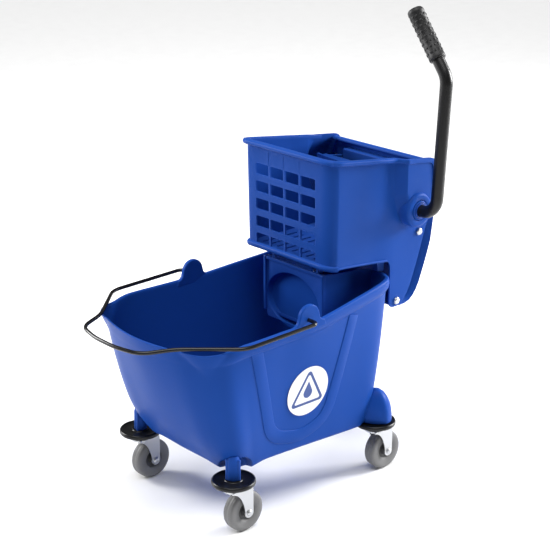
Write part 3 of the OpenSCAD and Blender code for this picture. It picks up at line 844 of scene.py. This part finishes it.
def wringer_beads():
    """The lip over the grid, the bead under it, and the edge along each side's foot."""
    path = wringer_path(303)
    lip = [(3, -8.2), (6.6, -7.8), (8.4, -6.6), (9.2, -4.0), (8.6, -1.4), (7.0, 0.2), (3, 0.8)]
    bead = [(-1, -4.8), (2.2, -5.2), (4.2, -4.2), (5.2, -1.8), (5.3, 1.0), (4.4, 3.4), (2.4, 4.8), (-1, 5.2)]
    edge = [(-2.6, -1.6), (1.2, -1.6), (2.2, -0.2), (2.0, 1.6), (0.6, 2.6), (-2.6, 2.6)]
    beads = [along_wall([q for q in path if q[0] < 82], lip, wringer_top),
             along_wall([q for q in path if q[0] < 91], bead, lambda x: 425.6)]
    for s in (1, -1):
        side = [q for q in path if 86 < q[0] < 219 and q[1] * s > 0]
        beads.append(along_wall(side, edge, lambda x: 424.2 - max(0, x - 102) * 0.094))
    return beads


def housings():
    """A raised border round the lever side's hub housing, and a back wall for each housing."""
    border = [(246, 605.6), (255, 605.2), (303, 599.6), (309.5, 598.2), (314.5, 595.4), (318, 591),
              (319.6, 586), (321, 575), (324.5, 540), (325.6, 530)]
    inside = [(317.2, 530), (316, 540), (312.5, 574), (311.2, 582), (309.6, 586.4), (306.6, 589.4),
              (302, 591.4), (255, 596.8), (246, 597.6)]
    made = [prism("border", border + inside, -139.2, -135)]
    rear = [(325, 471), (327, 481), (327.2, 492), (326.4, 505), (324.8, 525), (323.4, 540), (321.6, 560),
            (320.4, 572), (319.4, 582), (318.4, 588)]
    for s in (1, -1):
        rows = [[], [], [], []]
        for x, z in rear:
            edge_y = wringer_at((x, s * 118.0, 0, s), z, -1.5)[1] / MM
            for row, (dx, y) in zip(rows, ((-0.6, edge_y), (-0.6, s * 108), (-4.2, s * 108), (-4.2, edge_y))):
                row.append(((x + dx) * MM, y * MM, z * MM))
        made.append(sheet_of(rows))
    return made


def wringer_floor():
    """The floor, with a row of drain slots."""
    floor = rounded([(76, 102), (86, 113), (300, 114), (300, -114), (96, -114), (76, -86)], 6, 5)
    slots = []
    for y in range(-90, 91, 20):
        slot = rounded([(94, y - 3), (180, y - 3), (180, y + 3), (94, y + 3)], 2.4, 4)
        slots.append(plate_z(slot, 410, 440))
    floor = cut(plate_z(floor, 424, 427.6), join("slots", slots))
    smooth(floor, 30)
    return floor


def feet(s):
    """The two feet on side s that stand in the bucket's notch."""
    front = [(93, 426), (93, 403), (95, 402.6), (104, 402.6), (106, 404), (106, 426)]
    rear = [(204, 426), (206.5, 393), (209, 391), (220, 390), (222.5, 392), (225, 426)]
    return [prism("foot", outline, s * y - half, s * y + half)
            for outline, y, half in ((front, 60, 3), (rear, 97, 7))]


def boss(s):
    """The ringed hub on side s that the lever's bush sits in."""
    profile = [(15.3, 122), (33.5, 122), (33.4, 130), (32.6, 137.4), (31.4, 140.6), (29.8, 142),
               (27.5, 142.6), (20.6, 142.9), (19.8, 142.4), (19.3, 140.6), (18.7, 140.6), (18.2, 143.2),
               (17.4, 144.5), (16.2, 144.9), (15.5, 144.2), (15.3, 143.4), (15.3, 122)]
    me = lathe("boss", profile, 72, lying(PIVOT_X, 0, PIVOT_Z, -s))
    smooth(me, 40)
    return me


def wringer():
    """The wringer's body: wall, rim, beads, housings, slotted floor, feet and hub bosses."""
    parts = [wringer_wall(), wringer_hem()] + wringer_beads() + housings() + [wringer_floor()]
    for s in (1, -1):
        parts += feet(s) + [boss(s)]
    obj("wringer_shell", join("wringer_shell", parts), "wringer", "blue_plastic", ["wringer_body"])


wringer()


def cover():
    """The rear cover: a curved skin, its side flanges, the rolled top edge and the step inside it."""
    skin = [(309, 590), (310.5, 575), (314, 547), (320, 528), (330, 509), (336.4, 497), (340, 486),
            (340.8, 477), (339.8, 466), (334.6, 431), (327.5, 408), (319.6, 386), (305.5, 350.5),
            (299, 339), (290.5, 328.5), (281, 321), (268, 317.2), (252, 316.4), (238, 317)]
    pts = [Vector(q) for q in skin]

    def inwards(i, depth):
        t = (pts[min(i + 1, len(pts) - 1)] - pts[max(i - 1, 0)]).normalized()
        return pts[i] + Vector((t.y, -t.x)) * depth

    inner = [tuple(inwards(i, 3.6)) for i in range(len(pts))]
    parts = [prism("skin", skin + inner[::-1], -113.2, 113.2)]
    for s in (1, -1):
        flange = [[], [], [], []]
        for i in range(6, 18):
            deep = inwards(i, 22)
            for row, (q, y) in zip(flange, ((pts[i], 117.6), (deep, 103), (deep, 100), (pts[i], 114))):
                row.append((q.x * MM, s * y * MM, q.y * MM))
        parts.append(sheet_of(flange))
    edge = [(296.5, 589.4), (297, 593), (298.6, 594.8), (301, 595.4), (308.5, 594.4), (311.2, 592.6),
            (312.4, 589.6), (312.6, 582), (309.6, 582), (309, 588.4), (299, 589.2)]
    parts.append(prism("edge", edge, -118, 118))
    step = [(311, 577.4), (291.5, 578.6), (289.6, 577.8), (289, 576), (289, 545), (291.6, 545),
            (291.8, 575.4), (311, 574.4)]
    parts.append(prism("step", step, -78, 78))
    me = join("cover", parts)
    me.shade_smooth()
    o = obj("cover_shell", me, "wringer", "blue_plastic", ["rear_cover"])
    bevelled(o, 0.0009, 2, 28)


cover()
refined("press_plate", "press", 0.0008)
refined("hub_bushes", "wringer", 0.0006)

# ---------- bolts, nuts ----------
def fasteners():
    """The domed bolt heads outside the cover's flanges and the hex nuts inside."""
    head = [(0, 104), (3, 104), (3, 117.5), (6.9, 117.6), (7.1, 118.4), (7.0, 119.8), (6.3, 121.2),
            (5.0, 122), (3.2, 122.2), (2.6, 121.4), (0, 121.2)]
    nut = [(3.1, 104.4), (5.4, 104.4), (6.2, 105.2), (6.2, 109), (5.4, 109.7), (3.1, 109.7), (3.1, 104.4)]
    for name, profile, n, angle, node in (("bolt_heads", head, 48, 40, "cover_bolts"),
                                          ("hex_nuts", nut, 6, 20, "cover_nuts")):
        made = [lathe(name, profile, n, lying(x, 0, z, -s)) for s in (1, -1) for x, z in BOLTS]
        for me in made:
            smooth(me, angle)
        obj(name, join(name, made), "wringer", "zinc_steel", [node])


fasteners()

# ---------- lever ----------
LEAN = math.radians(3.3)  # towards the rear
BEND, BEND_R = math.radians(39), 40  # the upper bend, towards the bucket's middle
REACH = -182  # the upright's Y
UPRIGHT = 32 + 205  # where the upper bend starts, above the axis
HELD = 125  # from the end of the bend to the tip
BEND_END = (0, REACH + BEND_R * (1 - math.cos(BEND)), UPRIGHT + BEND_R * math.sin(BEND))
LEVER_PLACE = Matrix.Translation((PIVOT_X * MM, 0, PIVOT_Z * MM)) @ Matrix.Rotation(LEAN, 4, "Y")


def lever():
    """The bent tube, from inside the hub to its tip."""
    tip = (0, BEND_END[1] + HELD * math.sin(BEND), BEND_END[2] + HELD * math.cos(BEND))
    corner_z = UPRIGHT + BEND_R * math.tan(BEND / 2)
    path = arc_path([((0, -108, 0), 0), ((0, REACH, 0), 32), ((0, REACH, corner_z), BEND_R), (tip, 0)], 4)
    me = sweep("lever_rod", path, 11.5, 40)
    smooth(me, 50)
    me.transform(LEVER_PLACE)
    obj("lever_rod", me, "lever", "lever_coat", ["lever_tube"])


def grip():
    """The rubber sleeve, with rings of raised dots."""
    hold = LEVER_PLACE @ Matrix.Translation(Vector(BEND_END) * MM) @ Matrix.Rotation(-BEND, 4, "X")
    profile = [(11.6, 24), (14.2, 24), (15.2, 24.9), (15.5, 26.5), (15.5, 31), (15.0, 32), (15.0, 117),
               (15.5, 118), (15.5, 121), (14.8, 124.4), (13, 126.8), (10, 127.8), (0, 128)]
    sleeve = lathe("grip", profile, 64, hold)
    smooth(sleeve, 40)
    radius, pitch, around, rings = 15.0, 10.4, 11, 8
    bm = bmesh.new()
    for ring in range(rings):
        for k in range(around):
            a = 2 * math.pi * (k + 0.5 * (ring % 2)) / around
            z = 38 + ring * pitch
            spot = Matrix.Translation((radius * MM * math.cos(a), radius * MM * math.sin(a), z * MM))
            flat = Matrix.Rotation(a, 4, "Z") @ Matrix.Diagonal((0.42, 1, 1.15, 1))
            bmesh.ops.create_uvsphere(bm, u_segments=14, v_segments=10, radius=2.5 * MM,
                                      matrix=hold @ spot @ flat)
    dots = from_bm("dots", bm)
    dots.shade_smooth()
    obj("grip_sleeve", join("grip_sleeve", [sleeve, dots]), "lever", "grip_rubber", ["grip"])


lever()
grip()


# ---------- casters ----------
TRAIL, AXLE_Z = 21, 38.1  # how far the wheel trails its swivel, and its axle's height


def fork_plates():
    """One fork: two cheeks with curved front edges, a crown and a collar, round a swivel at the origin."""
    lead = []
    for k in range(13):
        t = k / 12
        a, b, c = (1 - t) ** 2, 2 * t * (1 - t), t * t
        lead.append((-16 * a + 6 * b + 12.0 * c, 84.6 * a + 80 * b + 41.5 * c))
    end = [(TRAIL + 9.5 * math.cos(math.radians(a)), AXLE_Z + 9.5 * math.sin(math.radians(a)))
           for a in range(160, 361, 10)]
    outline = [(-16, 87.4)] + lead + end + [(30.4, 87.4)]
    plates = [prism("plate", outline, 15.5, 17.7), prism("plate", outline, -17.7, -15.5)]
    crown = [(20 * math.cos(math.radians(a)), 20 * math.sin(math.radians(a))) for a in range(62, 299, 8)]
    crown = crown + [(30.4, -17.7), (30.4, 17.7)]
    plates.append(plate_z(crown, 84.5, 87.5))
    plates.append(lathe("collar", [(5.7, 87.4), (15.5, 87.4), (15.5, 88.4), (14, 89.2), (5.7, 89.2),
                                   (5.7, 87.4)],
                        48))
    return join("fork", plates)


def caster(name, x, y):
    """One caster: its bumper disc, upper race, fork, axle, tyre and hub."""
    here = Matrix.Translation((x * MM, y * MM, 0))
    wheel = lying(x + TRAIL, y, AXLE_Z)
    me = lathe("bumper", [(5.6, 97), (35.5, 97), (38, 97.6), (39.2, 99), (39.5, 101), (39.3, 103.4),
                          (38.4, 105.2), (36.9, 105.95), (35.3, 105.9), (33.8, 105.1), (32.6, 104.4),
                          (17, 104.4), (16.4, 104.7), (15.8, 105.9), (5.6, 105.9), (5.6, 97)], 96, here)
    smooth(me, 50)
    obj("bumper_disc_" + name, me, "root", "bumper", ["bumper_" + name])
    me = lathe("race", [(5.6, 96.9), (16.6, 96.9), (18.2, 96.2), (18.8, 94.9), (18.4, 93.4), (17.2, 92.6),
                        (17.2, 91), (18, 90.3), (17.6, 89.4), (16, 89.3), (15.9, 92), (5.6, 92), (5.6, 96.9)],
               64, here)
    smooth(me, 50)
    obj("race_ring_" + name, me, "root", "zinc_steel", ["race_" + name])
    me = fork_plates()
    me.transform(here)
    me.shade_smooth()
    o = obj("fork_frame_" + name, me, "caster_" + name, "zinc_steel", ["fork_" + name])
    bevelled(o, 0.0007, 2, 40)
    rivet = [(0, -21.2), (1.6, -21.2), (2.2, -20.6), (3.0, -20.6), (3.4, -21), (4.6, -20.4), (5.4, -19.2),
             (5.6, -17.6), (4, -17.6), (4, 17.6), (5.6, 17.6), (5.4, 19.2), (4.6, 20.4), (3.4, 21), (0, 21.2)]
    me = lathe("axle", rivet, 40, wheel)
    smooth(me, 40)
    obj("axle_rivet_" + name, me, "caster_" + name, "zinc_steel", ["axle_" + name])
    side = [(17, 7.5), (17.6, 9.6), (19, 10.8), (30, 11.9), (33.5, 11.8), (35.8, 10.8), (37.2, 9),
            (37.9, 6.6), (37.6, 5.9), (38.0, 5.3), (38.1, 2.4), (37.8, 1.8)]
    me = lathe("tyre", side + [(r, -h) for r, h in reversed(side)] + [side[0]], 96, wheel)
    smooth(me, 40)
    obj("tyre_tread_" + name, me, "wheel_" + name, "tyre", ["tyre_" + name])
    face = [(4.05, 15.1), (8.6, 15.1), (9.2, 14.4), (9.6, 8), (10.6, 6.4), (15.6, 5.6), (17.2, 6.4),
            (17.4, 8.6)]
    me = lathe("hub", face + [(r, -h) for r, h in reversed(face)] + [face[0]], 72, wheel)
    smooth(me, 40)
    obj("hub_core_" + name, me, "wheel_" + name, "wheel_core", ["hub_" + name])


for c in CORNERS:
    caster(*c)

# ---------- camera and light ----------
scene = bpy.context.scene
cam = bpy.data.objects.new("camera", bpy.data.cameras.new("camera"))
scene.collection.objects.link(cam)
az, el = math.radians(-41.5), math.radians(19.4)
back = Vector((math.sin(az) * math.cos(el), -math.cos(az) * math.cos(el), math.sin(el)))
cam.location = (-1.5683, -1.8222, 1.2521)
cam.rotation_euler = back.to_track_quat("Z", "Y").to_euler()
cam.data.sensor_width = 36
cam.data.lens = 91.81
scene.camera = cam


def area(name, where, power):
    """A soft box that faces the middle of the object."""
    light = bpy.data.lights.new(name, "AREA")
    light.shape, light.size, light.size_y, light.energy = "RECTANGLE", 1.1, 1.3, power
    o = bpy.data.objects.new(name, light)
    scene.collection.objects.link(o)
    o.location = where
    o.rotation_euler = (Vector(where) - LIT).to_track_quat("Z", "Y").to_euler()


LIT = Vector((0.1, 0, 0.6))
area("left", (-1.35, 2.5, 1.5), 92)
area("right", (2.85, -1.1, 1.35), 165)
sun = bpy.data.lights.new("sun", "SUN")
sun.energy, sun.angle = 2.85, math.radians(50)
sun_o = bpy.data.objects.new("sun", sun)
scene.collection.objects.link(sun_o)
sun_o.rotation_euler = (math.radians(8), math.radians(-12), 0)
scene.world = bpy.data.worlds.new("studio")
scene.world.use_nodes = True
bg = scene.world.node_tree.nodes["Background"]
bg.inputs["Color"].default_value = (1, 1, 1, 1)
bg.inputs["Strength"].default_value = 0.13
scene.view_settings.view_transform = "Standard"

bm = bmesh.new()
bmesh.ops.create_grid(bm, x_segments=1, y_segments=1, size=6)
floor = bpy.data.objects.new("floor", from_bm("floor", bm))
scene.collection.objects.link(floor)
floor.data.materials.append(material("floor_paint", (0.93, 0.93, 0.93), 0.6, grain=60, bump=0.02, vary=0.01))
